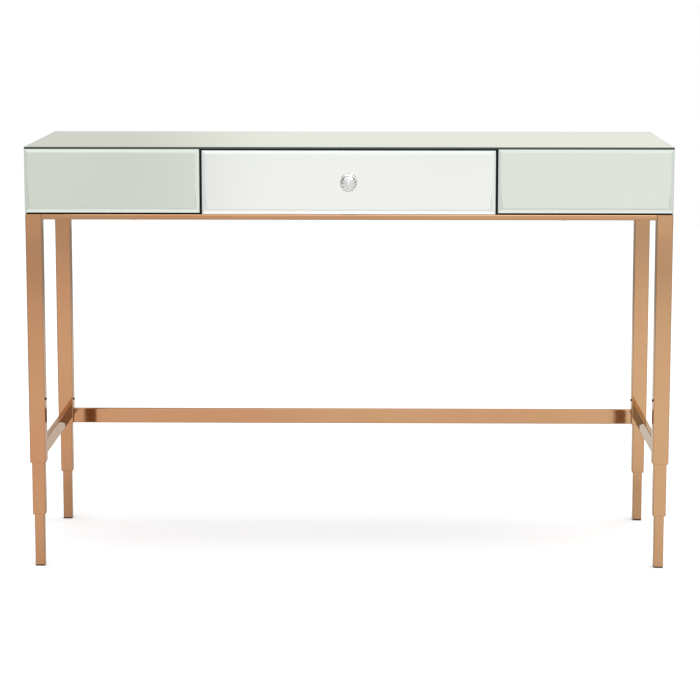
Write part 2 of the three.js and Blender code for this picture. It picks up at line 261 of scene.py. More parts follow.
floor_paint = bpy.data.materials.new("floor_paint")
tree = tree_of(floor_paint)
ray = add_node(tree, "ShaderNodeLightPath")
twice = maths(tree, "GREATER_THAN", ray.outputs["Ray Depth"], 1.5)
not_glass = maths(tree, "LESS_THAN", ray.outputs["Transmission Depth"], 0.5)
twice = maths(tree, "MULTIPLY", twice, not_glass)
bounced = remap(tree, twice, 0, 1, FLOOR_BOUNCED, FLOOR_TWICE)
where = add_node(tree, "ShaderNodeTexCoord")
spot = split(tree, where.outputs["Object"])
card_right = fade(tree, spot["X"], CARD_RIGHT_EDGE, CARD_LEVEL, 1)
card_left = fade(tree, spot["X"], CARD_LEFT_EDGE, 1, CARD_LEVEL)
card = maths(tree, "MAXIMUM", card_right, card_left)
# painted shade: far behind the table the floor is painted darker, seen only in reflections
far_behind = fade(tree, spot["Y"], FAR_BEHIND_EDGE, 1, FAR_BEHIND_LEVEL)
for dimming in (card, far_behind):
    bounced = maths(tree, "MULTIPLY", bounced, dimming)
skin = add_node(tree, "ShaderNodeBsdfDiffuse")
tree.links.new(blend(tree, ray.outputs["Is Camera Ray"], bounced, FLOOR_SEEN), skin.inputs["Color"])
out = add_node(tree, "ShaderNodeOutputMaterial")
tree.links.new(skin.outputs[0], out.inputs["Surface"])
floor_mesh.materials.append(floor_paint)
print("floor reach", FLOOR_REACH)

# %% [markdown]
# ### Lamps
# Two large soft lamps give the shadow under the table a direction without a hard edge: one overhead, and
# a weaker one in front so that the inside of an open drawer isn't black.


# %% Lamps
def soft_lamp(name, place, aim, size, watts):
    """A large square lamp, turned towards a point; it isn't seen as a glare spot in the crystal."""
    data = bpy.data.lights.new(name, "AREA")
    data.size = size
    data.energy = watts
    lamp = bpy.data.objects.new(name, data)
    lamp.location = place
    lamp.rotation_euler = (Vector(aim) - Vector(place)).to_track_quat("-Z", "Y").to_euler()
    lamp.visible_transmission = False
    bpy.context.scene.collection.objects.link(lamp)


# name, place in metres, width in metres, watts
LAMPS = (
    ("lamp_overhead", (0.4, -0.6, 3.4), 3.0, 45),
    ("lamp_front", (0.1, -3.4, 2.6), 2.2, 30),
)
for name, place, size, watts in LAMPS:
    soft_lamp(name, place, (cad_low + cad_high) / 2, size, watts)
print("lamps", len(LAMPS))

# %% [markdown]
# ## Effects that several finishes share
# Each effect is a node group that is built once. It reads the piece's own coordinates in metres, so one
# scale suits every piece, and it puts out only colours, masks and heights. The shader stays in the
# material. Plated tube, mirror glass, chrome and crystal all show faint wiping marks. Painted board, nylon
# and rubber all have a fine pebbled skin. Tube, mirror and board gather a little dust where they face up.


# %% Group builder
def new_group(name, inputs, outputs):
    """A shader group; inputs are (name, value) and outputs are (name, kind)."""
    group = bpy.data.node_groups.new(name, "ShaderNodeTree")
    for label, value in inputs:
        kind = "NodeSocketColor" if isinstance(value, tuple) else "NodeSocketFloat"
        socket = group.interface.new_socket(label, in_out="INPUT", socket_type=kind)
        socket.default_value = value
    for label, kind in outputs:
        group.interface.new_socket(label, in_out="OUTPUT", socket_type="NodeSocket" + kind)
    return group, group.nodes.new("NodeGroupInput"), group.nodes.new("NodeGroupOutput")


def own_coordinates(tree, stretch=(1, 1, 1)):
    """The piece's own coordinates in metres, stretched along its axes."""
    where = add_node(tree, "ShaderNodeTexCoord")
    scaled = add_node(tree, "ShaderNodeMapping", inputs={"Scale": stretch})
    tree.links.new(where.outputs["Object"], scaled.inputs["Vector"])
    return scaled.outputs["Vector"]


# nearly all of a noise's values lie in here
NOISE_SPAN = (0.3, 0.7)


def noise(tree, vector, scale, detail=3.0, roughness=0.5):
    """A noise texture's value; scale is a number or a socket, in cells per metre."""
    node = add_node(tree, "ShaderNodeTexNoise", inputs={"Detail": detail, "Roughness": roughness})
    tree.links.new(vector, node.inputs["Vector"])
    feed(tree, node.inputs["Scale"], scale)
    return node.outputs["Fac"]


# %% [markdown]
# ### Wiping marks
# A cloth leaves faint cloudy smears, and fine hairlines along the way it was pulled. A coarse noise with
# most of it cut off gives the smears. A fine noise drawn out along Z gives the hairlines. Both only make
# a polished surface a little less sharp, so they go to its roughness.

# %% Wiping marks
SMEAR_SPAN = (0.48, 0.72)
HAIRLINE_SCALE = 420
HAIRLINE_STRETCH = (6, 6, 0.5)
HAIRLINE_SPAN = (0.4, 0.8)

group, given, result = new_group(
    "wiping_marks",
    [("Scale", 14.0), ("Amount", 1.0)],
    [("Smears", "Float"), ("Hairlines", "Float")],
)
blotches = noise(group, own_coordinates(group), given.outputs["Scale"], detail=4)
smears = fade(group, blotches, SMEAR_SPAN, 0, 1)
group.links.new(maths(group, "MULTIPLY", smears, given.outputs["Amount"]), result.inputs["Smears"])
drawn_out = own_coordinates(group, HAIRLINE_STRETCH)
lines = remap(group, noise(group, drawn_out, HAIRLINE_SCALE, detail=2), *HAIRLINE_SPAN, 0, 1)
group.links.new(maths(group, "MULTIPLY", lines, given.outputs["Amount"]), result.inputs["Hairlines"])
wiping_marks = group
print("wiping marks", len(group.nodes), "nodes")

# %% [markdown]
# ### Pebbled skin
# Sprayed paint, moulded nylon and rubber dry or set with a skin of tiny bumps on top of slower waves. Two
# noises, one fine and one coarse, add up to its height. Each material sets the scale of the fine one.

# %% Pebbled skin
COARSE_SCALE = 90
COARSE_SHARE = 0.35

group, given, result = new_group("pebbled_skin", [("Scale", 900.0)], [("Height", "Float")])
fine = noise(group, own_coordinates(group), given.outputs["Scale"], detail=2)
coarse = maths(group, "MULTIPLY", noise(group, own_coordinates(group), COARSE_SCALE, detail=2), COARSE_SHARE)
group.links.new(maths(group, "ADD", fine, coarse), result.inputs["Height"])
pebbled_skin = group
print("pebbled skin", len(group.nodes), "nodes")

# %% [markdown]
# ### Settled dust
# Dust only stays where a surface faces up, so the mask is the upward part of the surface's normal times a
# speckled noise. It tints the colour just enough to take the newness off.

# %% Dust that lies where a surface faces up
DUST_SCALE = 60
DUST_SPECKS = (0.42, 0.7)
FACING_UP = (0.6, 1.0)

group, given, result = new_group(
    "settled_dust",
    [("Color", (0.5, 0.5, 0.5, 1)), ("Dust Color", (0.42, 0.4, 0.37, 1)), ("Amount", 0.1)],
    [("Color", "Color"), ("Mask", "Float")],
)
facing = add_node(group, "ShaderNodeNewGeometry")
flatness = fade(group, split(group, facing.outputs["Normal"])["Z"], FACING_UP, 0, 1)
specks = noise(group, own_coordinates(group), DUST_SCALE, detail=6, roughness=0.7)
specks = remap(group, specks, *DUST_SPECKS, 0, 1)
lying = maths(group, "MULTIPLY", maths(group, "MULTIPLY", flatness, specks), given.outputs["Amount"])
dusted = add_node(group, "ShaderNodeMix", data_type="RGBA")
group.links.new(lying, dusted.inputs["Factor"])
group.links.new(given.outputs["Color"], dusted.inputs["A"])
group.links.new(given.outputs["Dust Color"], dusted.inputs["B"])
group.links.new(dusted.outputs["Result"], result.inputs["Color"])
group.links.new(lying, result.inputs["Mask"])
settled_dust = group
print("groups", [g.name for g in bpy.data.node_groups])


# %% Material builder
def place_group(tree, group, **values):
    """A group placed in a material with its own values; underscores in names stand for spaces."""
    node = tree.nodes.new("ShaderNodeGroup")
    node.node_tree = group
    for key, value in values.items():
        node.inputs[key.replace("_", " ")].default_value = value
    return node


def new_finish(name, **plain):
    """A material with one Principled shader, whose plain sockets are set by name."""
    finish = bpy.data.materials.new(name)
    tree = tree_of(finish)
    skin = add_node(tree, "ShaderNodeBsdfPrincipled")
    for key, value in plain.items():
        skin.inputs[key.replace("_", " ")].default_value = value
    out = add_node(tree, "ShaderNodeOutputMaterial")
    tree.links.new(skin.outputs[0], out.inputs["Surface"])
    return finish, tree, skin


def two_tone(tree, mask, first, second):
    """A colour that goes from first to second as the mask goes from 0 to 1."""
    node = add_node(tree, "ShaderNodeMix", data_type="RGBA")
    node.inputs["A"].default_value = (*first, 1)
    node.inputs["B"].default_value = (*second, 1)
    tree.links.new(mask, node.inputs["Factor"])
    return node.outputs["Result"]


def raise_by(tree, skin, height, strength, distance):
    """A bump from a height, in metres at full strength."""
    bump = add_node(tree, "ShaderNodeBump", inputs={"Strength": strength, "Distance": distance})
    tree.links.new(height, bump.inputs["Height"])
    tree.links.new(bump.outputs["Normal"], skin.inputs["Normal"])


# %% [markdown]
# ## Rose-gold plating
# The frame is welded steel tube, polished and plated with a thin pinkish-gold coat. Plating this bright
# reflects sharply, so one leg shows as a dark brown bar in the stretcher behind it. Its colour is painted
# darker and redder on the left and brighter and more golden on the right, as painted light and shade for
# light falling more on the right, with soft random clouds in between. The corners are painted darker brown,
# a painted shade for dark reflections along the edges; the tube maker marks those corners on the mesh as an
# attribute.

# %% Rose-gold finish
# painted light and shade: the frame is coloured darker and redder on the left, brighter and more golden on
# the right
ROSE_SHADED_LEFT = (0.60, 0.302, 0.156)
ROSE_LIT_RIGHT = (0.65, 0.387, 0.208)
# painted shade: the corners are coloured this darker brown in place of dark reflections along the edges
ROSE_CORNER_SHADE = (0.42, 0.23, 0.125)
ROSE_AT_GRAZING = (0.80, 0.76, 0.66, 1)
CORNER_SHADE_SHARE = 0.6
CLOUD_SCALE = 3.5
CLOUD_SWING = 0.25
TABLE_REACH = 0.6
SIDE_LIGHT_SPAN = (0.1, 0.9)
PLATING_POLISH = 0.035
PLATING_HAZE = 0.05
PLATING_GRAIN = 0.03
PLATING_BUMP = 0.02 * MM

plating, tree, skin = new_finish("rose_gold_plating", Metallic=1.0, Specular_Tint=ROSE_AT_GRAZING)
cloud = noise(tree, own_coordinates(tree), CLOUD_SCALE, detail=2)
cloud = remap(tree, cloud, *NOISE_SPAN, -CLOUD_SWING, CLOUD_SWING)
# painted light and shade: the colour runs from the shaded left end to the lit right end
across = split(tree, own_coordinates(tree))["X"]
across = remap(tree, across, -TABLE_REACH, TABLE_REACH, *SIDE_LIGHT_SPAN)
coat = two_tone(tree, maths(tree, "ADD", across, cloud), ROSE_SHADED_LEFT, ROSE_LIT_RIGHT)
# painted shade: the corner mask darkens the colour along the tube's rounded corners
corner = add_node(tree, "ShaderNodeAttribute", attribute_name="corner")
corner_shaded = add_node(tree, "ShaderNodeMix", data_type="RGBA")
corner_shaded.inputs["B"].default_value = (*ROSE_CORNER_SHADE, 1)
tree.links.new(maths(tree, "MULTIPLY", corner.outputs["Fac"], CORNER_SHADE_SHARE), corner_shaded.inputs["Factor"])
tree.links.new(coat, corner_shaded.inputs["A"])
dust = place_group(tree, settled_dust, Amount=0.06)
tree.links.new(corner_shaded.outputs["Result"], dust.inputs["Color"])
tree.links.new(dust.outputs["Color"], skin.inputs["Base Color"])
marks = place_group(tree, wiping_marks, Scale=11.0)
haze = maths(tree, "MULTIPLY", marks.outputs["Smears"], PLATING_HAZE)
grain = maths(tree, "MULTIPLY", marks.outputs["Hairlines"], PLATING_GRAIN)
rough = maths(tree, "ADD", maths(tree, "ADD", haze, grain), PLATING_POLISH)
tree.links.new(rough, skin.inputs["Roughness"])
raise_by(tree, skin, marks.outputs["Hairlines"], strength=0.04, distance=PLATING_BUMP)
print("rose gold from", ROSE_SHADED_LEFT, "to", ROSE_LIT_RIGHT)

# %% [markdown]
# ## Mirror glass
# Each panel is 4 mm clear glass, silvered on its back, so it tints what it reflects slightly green. The
# ground bevel tilts the reflection. Light bends on its way in and out of the glass, so it swings the
# reflection about half as far as a bare metal facet of the same slope would. The panel here is one
# closed sheet that reflects at its face, with a shallower bevel than the real glass would need. The
# light crosses less glass in the bevel, so it is a shade clearer there. The polished edge, where one
# looks into the thickness of the glass, is dark green.


# %% Mirror finish
# painted reflection: the drawer's tint, and to a lesser degree the top's, is paler than the side panels',
# standing in for the brighter reflections they show
SIDE_TINT = (0.82, 0.855, 0.77)
DRAWER_TINT = (0.965, 0.98, 0.935)
TOP_TINT = (0.86, 0.885, 0.79)
TOP_AT_GRAZING = (0.93, 0.945, 0.85)
TINT_DRIFT = 0.97
DRIFT_SCALE = 2.2
DRIFT_SPAN = (0.35, 0.65)
BEVEL_CHANGE = (0.985, 1.02, 1.05)
MIRROR_POLISH = 0.012
MIRROR_HAZE = 0.03


def mirror_finish(name, tint, at_grazing=(1, 1, 1)):
    """Silvered glass in the given tint; a paler tint paints in a brighter reflection, as on the drawer and
    the top.
    """
    finish, tree, skin = new_finish(name, Metallic=1.0, Specular_Tint=(*at_grazing, 1))
    drift = fade(tree, noise(tree, own_coordinates(tree), DRIFT_SCALE, detail=1), DRIFT_SPAN, 0, 1)
    silver = two_tone(tree, drift, tint, tuple(TINT_DRIFT * value for value in tint))
    bevel = add_node(tree, "ShaderNodeAttribute", attribute_name="bevel")
    ground = add_node(tree, "ShaderNodeMix", data_type="RGBA")
    thinner = (min(1.0, value * change) for value, change in zip(tint, BEVEL_CHANGE))
    ground.inputs["B"].default_value = (*thinner, 1)
    tree.links.new(bevel.outputs["Fac"], ground.inputs["Factor"])
    tree.links.new(silver, ground.inputs["A"])
    dust = place_group(tree, settled_dust, Amount=0.03)
    tree.links.new(ground.outputs["Result"], dust.inputs["Color"])
    tree.links.new(dust.outputs["Color"], skin.inputs["Base Color"])
    marks = place_group(tree, wiping_marks, Scale=9.0)
    haze = maths(tree, "MULTIPLY", marks.outputs["Smears"], MIRROR_HAZE)
    tree.links.new(maths(tree, "ADD", haze, MIRROR_POLISH), skin.inputs["Roughness"])
    return finish


silver_left = mirror_finish("silvered_glass_left", SIDE_TINT)
silver_right = mirror_finish("silvered_glass_right", SIDE_TINT)
silver_drawer = mirror_finish("silvered_glass_drawer", DRAWER_TINT)
silver_top = mirror_finish("silvered_glass_top", TOP_TINT, at_grazing=TOP_AT_GRAZING)
print("mirror finishes", len([m for m in bpy.data.materials if m.name.startswith("silvered")]))

# %% [markdown]
# ### Glass edge
# Whoever looks into the edge looks through a great length of glass, which is green, and hardly any light
# comes back. A dark green skin with a clear coat is enough at this size, and is simpler than real
# see-through glass.

# %% Polished glass edge
EDGE_DEEP = (0.012, 0.03, 0.02)
EDGE_LIGHT = (0.03, 0.06, 0.042)
EDGE_ROUGH = (0.12, 0.3)
EDGE_CLOUD_SCALE = 35

glass_edge, tree, skin = new_finish("polished_glass_edge", Coat_Roughness=0.05, Coat_Weight=0.4)
along = noise(tree, own_coordinates(tree), EDGE_CLOUD_SCALE, detail=3)
tree.links.new(two_tone(tree, along, EDGE_DEEP, EDGE_LIGHT), skin.inputs["Base Color"])
marks = place_group(tree, wiping_marks, Scale=60.0)
tree.links.new(remap(tree, marks.outputs["Hairlines"], 0, 1, *EDGE_ROUGH), skin.inputs["Roughness"])
print("glass edge", EDGE_DEEP, EDGE_LIGHT)

# %% [markdown]
# ## Painted board
# The boards are fibreboard under satin black paint: a fine pebbled skin with slightly uneven gloss. Black
# is what makes the gaps round the drawer read as dark lines. One slow noise drives both the tone and the
# gloss, because where paint dries thicker both of them change.

# %% Satin black paint
PAINT_DARK = (0.011, 0.012, 0.011)
PAINT_LIGHT = (0.019, 0.02, 0.018)
PAINT_ROUGH = (0.38, 0.52)
PAINT_TONE_SCALE = 8
PAINT_BUMP = 0.06 * MM

paint, tree, skin = new_finish("satin_black_paint", IOR=1.48)
skin_height = place_group(tree, pebbled_skin, Scale=700.0)
tone = noise(tree, own_coordinates(tree), PAINT_TONE_SCALE, detail=5)
painted = two_tone(tree, tone, PAINT_DARK, PAINT_LIGHT)
dust = place_group(tree, settled_dust, Amount=0.10)
tree.links.new(painted, dust.inputs["Color"])
tree.links.new(dust.outputs["Color"], skin.inputs["Base Color"])
tree.links.new(remap(tree, tone, *NOISE_SPAN, *PAINT_ROUGH), skin.inputs["Roughness"])
raise_by(tree, skin, skin_height.outputs["Height"], strength=0.25, distance=PAINT_BUMP)
print("paint", PAINT_DARK, PAINT_LIGHT)

# %% [markdown]
# ## Zinc-plated steel
# The slides are rolled from zinc-plated strip. The rolls draw fine lines along the metal, so a noise is
# stretched along Y, the way the slides run. The zinc itself crystallises in small patches of light and
# dark, which another noise gives. The screws share it.

# %% Zinc-plated steel
ZINC_DARK = (0.5, 0.51, 0.53)
ZINC_LIGHT = (0.68, 0.69, 0.7)
ZINC_ROUGH = (0.22, 0.42)
SPANGLE_SCALE = 160
ROLLED_SCALE = 1500
ROLLED_STRETCH = (1, 0.02, 1)
ZINC_BUMP = 0.03 * MM

zinc, tree, skin = new_finish("zinc_plated_steel", Metallic=1.0)
spangle = noise(tree, own_coordinates(tree), SPANGLE_SCALE, detail=2)
tree.links.new(two_tone(tree, spangle, ZINC_DARK, ZINC_LIGHT), skin.inputs["Base Color"])
rolled = noise(tree, own_coordinates(tree, ROLLED_STRETCH), ROLLED_SCALE, detail=2)
tree.links.new(remap(tree, rolled, *NOISE_SPAN, *ZINC_ROUGH), skin.inputs["Roughness"])
raise_by(tree, skin, rolled, strength=0.15, distance=ZINC_BUMP)
print("zinc", ZINC_DARK, ZINC_LIGHT)

# %% [markdown]
# ## Chrome
# The knob's insert is brass with bright chrome on it. It is seen through the crystal and makes the knob
# look silvery, so it is kept light and sharp, with a few smears from the glue and the polishing.

# %% Chrome for the knob's insert
CHROME_DARK = (0.80, 0.81, 0.81)
CHROME_LIGHT = (0.90, 0.905, 0.90)
CHROME_ROUGH = (0.05, 0.16)
CHROME_TONE_SCALE = 220

chrome, tree, skin = new_finish("chromed_brass", Metallic=1.0)
tone = noise(tree, own_coordinates(tree), CHROME_TONE_SCALE, detail=2)
tree.links.new(two_tone(tree, tone, CHROME_DARK, CHROME_LIGHT), skin.inputs["Base Color"])
marks = place_group(tree, wiping_marks, Scale=240.0)
tree.links.new(remap(tree, marks.outputs["Smears"], 0, 1, *CHROME_ROUGH), skin.inputs["Roughness"])
print("chrome", CHROME_DARK, CHROME_LIGHT)

# %% [markdown]
# ## Nylon and rubber
# The glides and plugs are moulded nylon and the drawer stops are rubber. Both are dark and matt and take
# their skin from the mould. One function makes both, and rubber gets the finer, deeper and duller skin.


# %% Nylon and rubber
def pebbled_finish(name, colours, rough, pebble_scale, tone_scale, tone_detail, strength, height):
    """A matt moulded skin, a little uneven in its tone and its gloss."""
    finish, tree, skin = new_finish(name)
    pebbles = place_group(tree, pebbled_skin, Scale=pebble_scale)
    tone = noise(tree, own_coordinates(tree), tone_scale, detail=tone_detail)
    tree.links.new(two_tone(tree, tone, *colours), skin.inputs["Base Color"])
    tree.links.new(remap(tree, tone, *NOISE_SPAN, *rough), skin.inputs["Roughness"])
    raise_by(tree, skin, pebbles.outputs["Height"], strength, height)
    return finish


NYLON_COLOURS = ((0.03, 0.024, 0.02), (0.05, 0.042, 0.036))
RUBBER_COLOURS = ((0.018, 0.018, 0.018), (0.035, 0.035, 0.034))
nylon = pebbled_finish(
    "dark_nylon", NYLON_COLOURS, rough=(0.45, 0.6), pebble_scale=1400.0,
    tone_scale=120, tone_detail=3, strength=0.4, height=0.1 * MM,
)
rubber = pebbled_finish(
    "black_rubber", RUBBER_COLOURS, rough=(0.7, 0.85), pebble_scale=1800.0,
    tone_scale=200, tone_detail=4, strength=0.5, height=0.15 * MM,
)
print("nylon", NYLON_COLOURS[0], "rubber", RUBBER_COLOURS[0])

# %% [markdown]
# ## Crystal
# The knob is clear cut glass. It transmits nearly everything, so its shape does the work: each facet
# bends the room another way. Hardly any colour and a light polish are all that the finish adds.

# %% Crystal
CRYSTAL_DARK = (0.975, 0.985, 0.98)
CRYSTAL_LIGHT = (1.0, 1.0, 1.0)
CRYSTAL_ROUGH = (0.03, 0.07)
CRYSTAL_TONE_SCALE = 70

crystal, tree, skin = new_finish("clear_crystal", Transmission_Weight=1.0, IOR=1.48)
tone = noise(tree, own_coordinates(tree), CRYSTAL_TONE_SCALE, detail=2)
tree.links.new(two_tone(tree, tone, CRYSTAL_DARK, CRYSTAL_LIGHT), skin.inputs["Base Color"])
marks = place_group(tree, wiping_marks, Scale=150.0)
tree.links.new(remap(tree, marks.outputs["Smears"], 0, 1, *CRYSTAL_ROUGH), skin.inputs["Roughness"])
print("finishes", len(bpy.data.materials))

# %% [markdown]
# ## From a mesh to a piece
# A piece is shaped with bmesh in the table's own coordinates. It then rides on the table or on the
# drawer, takes its finishes, and stands for the plain part that it replaces.


# %% Piece helpers
CREASE_ANGLE = math.radians(28)
FLAT_FACE_WEIGHT = 100


def finish_shape(shape, sharp_over=CREASE_ANGLE):
    """Faces out, smooth faces, and a crease wherever two faces meet at more than the angle."""
    bmesh.ops.recalc_face_normals(shape, faces=shape.faces)
    for face in shape.faces:
        face.smooth = True
    for edge in shape.edges:
        edge.smooth = len(edge.link_faces) == 2 and edge.calc_face_angle() < sharp_over


def make_piece(name, shape, finishes, body, stands_for=()):
    """Turns a bmesh into an object that rides on a body."""
    mesh = bpy.data.meshes.new(name)
    shape.to_mesh(mesh)
    shape.free()
    for finish in finishes:
        mesh.materials.append(finish)
    piece = bpy.data.objects.new(name, mesh)
    bpy.context.scene.collection.objects.link(piece)
    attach(piece, body)
    if stands_for:
        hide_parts(*stands_for)
    return piece


def even_normals(piece):
    """Large flat faces set the shading, so that they reflect flat right up to a rounded corner."""
    modifier = piece.modifiers.new("even_normals", "WEIGHTED_NORMAL")
    modifier.keep_sharp = True
    modifier.weight = FLAT_FACE_WEIGHT


# %% [markdown]
# ## Tubes
# A drawn tube has softly rounded corners and walls with a real thickness, and a cut end that shows is
# eased by the polishing wheel. The section is swept as a stack of rings: up the outside, over the eased
# end, and back down the inside. An end that is welded to another tube stays square and closes up to it,
# because the weld is ground flush and polished before plating.

# %% Tube maker
CORNER_STEPS = 5
TUBE_CORNER = 1.6 * MM
EASED_END = 1.0 * MM
END_STEPS = 3
SMALLEST_CORNER = 0.2 * MM
WELD_CLOSES = 0.3 * MM


def rounded_section(wide, tall, radius):
    """Points round a rectangle with rounded corners, and which of them lie on a corner."""
    points = []
    for quarter in range(4):
        centre_u = (wide / 2 - radius) * (1 if quarter in (0, 3) else -1)
        centre_v = (tall / 2 - radius) * (1 if quarter in (0, 1) else -1)
        for step in range(CORNER_STEPS + 1):
            angle = math.pi / 2 * (quarter + step / CORNER_STEPS)
            inner = 0 < step < CORNER_STEPS
            points.append((centre_u + radius * math.cos(angle), centre_v + radius * math.sin(angle), inner))
    return points


def end_stations(end, ease, inward):
    """Places from a tube's end inward, and how far the skin is drawn in at each; one if it isn't eased."""
    if not ease:
        return [(end, 0.0)]
    turn = [math.pi / 2 * step / END_STEPS for step in range(END_STEPS + 1)]
    return [(end + inward * ease * (1 - math.cos(a)), ease * (1 - math.sin(a))) for a in turn]


def tube_shape(axis, low, high, wall, eased=(False, False)):
    """A rectangular tube filling the box from low to high; eased says which ends are rounded off."""
    along = "xyz".index(axis)
    across = [i for i in range(3) if i != along]
    middle = (low + high) / 2
    size = high - low
    shape = bmesh.new()
    corner_layer = shape.verts.layers.float.new("corner")

    def ring(place, inset):
        wide = size[across[0]] - 2 * inset
        tall = size[across[1]] - 2 * inset
        verts = []
        for u, v, on_corner in rounded_section(wide, tall, max(TUBE_CORNER - inset, SMALLEST_CORNER)):
            spot = [0.0, 0.0, 0.0]
            spot[across[0]] = middle[across[0]] + u
            spot[across[1]] = middle[across[1]] + v
            spot[along] = place
            vert = shape.verts.new(spot)
            vert[corner_layer] = 1.0 if on_corner else 0.0
            verts.append(vert)
        return verts

    first_end = end_stations(low[along], EASED_END * eased[0], 1)
    last_end = end_stations(high[along], EASED_END * eased[1], -1)
    outside = [ring(*station) for station in first_end + last_end[::-1]]
    inside = [ring(high[along], wall), ring(low[along], wall)]
    rings = outside + inside
    for first, second in zip(rings, rings[1:] + rings[:1]):
        for i in range(len(first)):
            j = (i + 1) % len(first)
            shape.faces.new((first[i], first[j], second[j], second[i]))
    finish_shape(shape)
    return shape


def cut_away(piece, cutter_shape):
    """Cuts a closed shape out of a piece for good."""
    mesh = bpy.data.meshes.new("cutter")
    bmesh.ops.recalc_face_normals(cutter_shape, faces=cutter_shape.faces)
    cutter_shape.to_mesh(mesh)
    cutter_shape.free()
    cutter = bpy.data.objects.new("cutter", mesh)
    bpy.context.scene.collection.objects.link(cutter)
    modifier = piece.modifiers.new("cut", "BOOLEAN")
    modifier.solver = "EXACT"
    modifier.object = cutter
    bpy.context.view_layer.update()
    ready = piece.evaluated_get(bpy.context.evaluated_depsgraph_get())
    done = bpy.data.meshes.new_from_object(ready)
    piece.modifiers.clear()
    piece.data = done
    bpy.data.objects.remove(cutter)


def rod_shape(axis, centre, radius, length, sides=24):
    """A closed round bar about a centre."""
    turned = {"x": Matrix.Rotation(math.pi / 2, 4, "Y"), "y": Matrix.Rotation(math.pi / 2, 4, "X")}
    place = Matrix.Translation(centre) @ turned.get(axis, Matrix.Identity(4))
    shape = bmesh.new()
    bmesh.ops.create_cone(
        shape, cap_ends=True, segments=sides, radius1=radius, radius2=radius, depth=length, matrix=place
    )
    return shape


# %% [markdown]
# ### Legs
# Each leg is three square tubes, one inside the next, so it steps down in size twice. Every tube shows
# its lower end, so that end is eased. A tube that slips into a larger one runs on some way inside it. Every
# upper tube has a vent hole on its inner face.

# %% Legs
CORNERS = ("front_left", "front_right", "back_left", "back_right")
# wall thickness of each section
LEG_WALLS = {"upper": 2.7 * MM, "middle": 2.7 * MM, "lower": 2.0 * MM}
VENT_RADIUS = 2.0 * MM
PAST_WALL = 1.0 * MM
VENT_HEIGHTS = {"front": 320 * MM, "back": 249 * MM}

for corner in CORNERS:
    for section, wall in LEG_WALLS.items():
        node = f"leg_{section}_{corner}"
        low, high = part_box(node)
        shape = tube_shape("z", low, high, wall, eased=(True, False))
        leg = make_piece(f"plated_{node}", shape, [plating], TABLE, [node])
        if section == "upper":
            inner_x = high.x if "left" in corner else low.x
            place = (inner_x, (low.y + high.y) / 2, VENT_HEIGHTS[corner.split("_")[0]])
            cut_away(leg, rod_shape("x", place, VENT_RADIUS, 2 * (wall + PAST_WALL)))
        even_normals(leg)
print("leg sections", len(CORNERS) * len(LEG_WALLS))

# %% [markdown]
# ### Vent plugs
# A welded tube needs a small hole that lets hot gas and plating liquid out. Afterwards the hole is closed
# by a domed nylon plug, which shows as a small dark dot on the inner face of each leg.

# %% Vent plugs
def turned_shape(profile, place, sides=48):
    """A turned solid from (radius, way back) pairs in millimetres; the place turns and moves it."""
    shape = bmesh.new()
    rings = []
    for radius, behind in profile:
        ring = []
        for i in range(sides):
            angle = 2 * math.pi * i / sides
            spot = Vector((radius * math.cos(angle), behind, radius * math.sin(angle)))
            ring.append(shape.verts.new(place @ (spot * MM)))
        rings.append(ring)
    for first, second in zip(rings, rings[1:]):
        for i in range(sides):
            j = (i + 1) % sides
            shape.faces.new((first[i], first[j], second[j], second[i]))
    shape.faces.new(rings[0])
    shape.faces.new(rings[-1])
    finish_shape(shape)
    return shape


PLUG_PROUD = 2.3 * MM
# radius and way back, from the domed head over its rim to the stem in the hole
PLUG_PROFILE = (
    (0.01, 0.0), (1.2, 0.12), (2.0, 0.55), (2.4, 1.2), (2.4, 2.3), (1.8, 2.3), (1.8, 4.4), (0.01, 4.4),
)
for corner in CORNERS:
    low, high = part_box(f"leg_upper_{corner}")
    inward = 1 if "left" in corner else -1
    inner_x = high.x if inward > 0 else low.x
    head = (inner_x + inward * PLUG_PROUD, (low.y + high.y) / 2, VENT_HEIGHTS[corner.split("_")[0]])
    place = Matrix.Translation(head) @ Matrix.Rotation(inward * math.pi / 2, 4, "Z")
    make_piece(f"vent_plug_{corner}", turned_shape(PLUG_PROFILE, place), [nylon], TABLE)
print("vent plugs", len(CORNERS))

# %% [markdown]
# ### Rails and stretchers
# Flat tubes, three times as wide as they are thick, butt between the legs. Under the case they lie flat,
# to carry it. Lower down they stand on edge, which is stiffer against sagging and shows more metal.

# %% Rails and stretchers
RAIL_WALL = 1.5 * MM
# part and the axis it runs along
BETWEEN_LEGS = {
    "frame_rail_front": "x",
    "frame_rail_back": "x",
    "frame_rail_left": "y",
    "frame_rail_right": "y",
    "stretcher_left": "y",
    "stretcher_right": "y",
    "stretcher_back": "x",
}
for node, axis in BETWEEN_LEGS.items():
    low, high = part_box(node)
    low["xyz".index(axis)] -= WELD_CLOSES
    high["xyz".index(axis)] += WELD_CLOSES
    shape = tube_shape(axis, low, high, RAIL_WALL)
    even_normals(make_piece(f"plated_{node}", shape, [plating], TABLE, [node]))
print("rails and stretchers", len(BETWEEN_LEGS))


# %% [markdown]
# ## Bevelled sheets
# A sheet is built from rings, starting at its back. The first rings give it a tiny eased arris at the
# back and at the face. The next ones carry the wide bevel in to the flat field. The bevel was polished on
# a felt wheel, so it is slightly hollowed out towards the field and has no hard inner line. The faces are
# marked so that the field and bevel get the silver and the sides get the green edge.

# %% Bevelled sheet maker
BEVEL_WIDE = 10 * MM
BEVEL_STEPS = 6
ARRIS = 0.2 * MM
SHEET_CREASE = math.radians(3)
CORNERS_OF_SHEET = ((-1, -1), (1, -1), (1, 1), (-1, 1))


